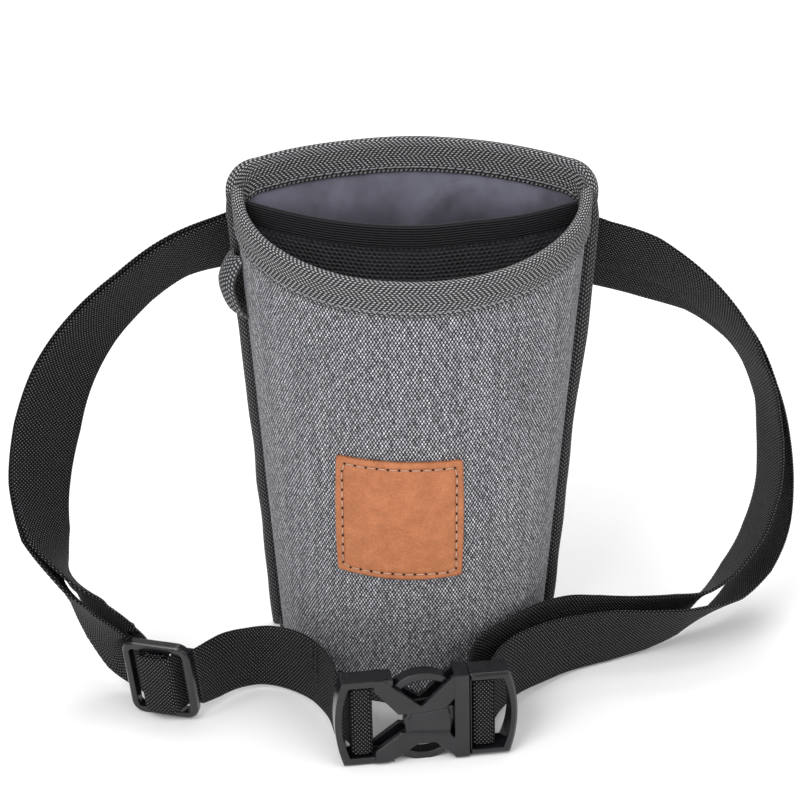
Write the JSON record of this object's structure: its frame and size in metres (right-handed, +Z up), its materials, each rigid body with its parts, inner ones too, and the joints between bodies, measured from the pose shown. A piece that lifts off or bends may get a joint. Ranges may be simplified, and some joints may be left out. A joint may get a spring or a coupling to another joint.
{
  "type": "treat pouch",
  "caption": "Soft grey dog-training treat pouch with a leather patch, on a black webbing belt with a side-release buckle and a slider.",
  "frame": {"origin": "underside of the base, midway between the two side seams", "axes": "+Z up, +X to the right seen from the front, -Y out of the bulging front"},
  "size_m": [0.2688, 0.1107, 0.1872],
  "materials": {
    "shell_fabric": "heathered woven polyester, matt",
    "binding_tape": "twill tape, matt",
    "seam_tape": "narrow dark tape, matt",
    "lining_nylon": "thin nylon, slight sheen",
    "base_stiffener": "plain board",
    "mesh_net": "hexagonal mesh",
    "elastic_band": "ribbed elastic",
    "patch_leather": "smooth tan, worn edges",
    "patch_thread": "waxed thread",
    "tab_webbing": "grey twill tape",
    "belt_webbing": "ribbed nylon webbing",
    "hardware_plastic": "satin moulded acetal"
  },
  "bodies": {
    "root": {"front_panel": "shell_fabric", "back_panel": "shell_fabric", "base_panel": "shell_fabric", "belt_sleeve": "shell_fabric", "front_lining": "lining_nylon", "back_lining": "lining_nylon", "base_board": "base_stiffener", "front_rim_binding": "binding_tape", "back_rim_binding": "binding_tape", "side_binding_left": "seam_tape", "side_binding_right": "seam_tape", "base_binding": "seam_tape", "mesh_divider": "mesh_net", "divider_elastic": "elastic_band", "leather_patch": "patch_leather", "patch_stitching": "patch_thread", "side_tab": "tab_webbing", "belt_left_outer": "belt_webbing", "belt_left_inner": "belt_webbing", "belt_right_outer": "belt_webbing", "belt_right_inner": "belt_webbing", "belt_right_outer_lead": "belt_webbing", "belt_right_inner_lead": "belt_webbing", "belt_buckle_lead": "belt_webbing", "belt_socket_fold": "belt_webbing", "buckle_socket": "hardware_plastic"},
    "plug": {"buckle_plug": "hardware_plastic", "belt_plug_fold": "belt_webbing"},
    "latch_upper": {"latch_arm_upper": "hardware_plastic"},
    "latch_lower": {"latch_arm_lower": "hardware_plastic"},
    "slider": {"slider_frame": "hardware_plastic", "belt_slider_fold": "belt_webbing", "belt_anchor_fold": "belt_webbing"}
  },
  "joints": [
    {"name": "buckle_slide", "type": "slide", "parent": "root", "child": "plug", "axis": [0.9903, 0.1392, 0], "range_m": [0, 0.03], "deforming": ["latch_arm_upper", "latch_arm_lower", "belt_right_outer_lead", "belt_right_inner_lead"]},
    {"name": "latch_upper_squeeze", "type": "hinge", "parent": "plug", "child": "latch_upper", "pos_m": [0.01613, -0.06958, 0.0269], "axis": [0.1381, -0.9829, 0.1219], "range_deg": [0, 8], "stiffness_Nm_per_rad": 0.2},
    {"name": "latch_lower_squeeze", "type": "hinge", "parent": "plug", "child": "latch_lower", "pos_m": [0.01651, -0.07231, 0.00447], "axis": [0.1381, -0.9829, 0.1219], "range_deg": [-8, 0], "stiffness_Nm_per_rad": 0.2},
    {"name": "slider_slide", "type": "slide", "parent": "root", "child": "slider", "axis": [0.9582, -0.2814, 0.0519], "range_m": [0, 0.01], "deforming": ["belt_slider_fold", "belt_anchor_fold"]}
  ],
  "couplings": [
    {"joint": "latch_lower_squeeze", "follows": "latch_upper_squeeze", "ratio": -1}
  ]
}
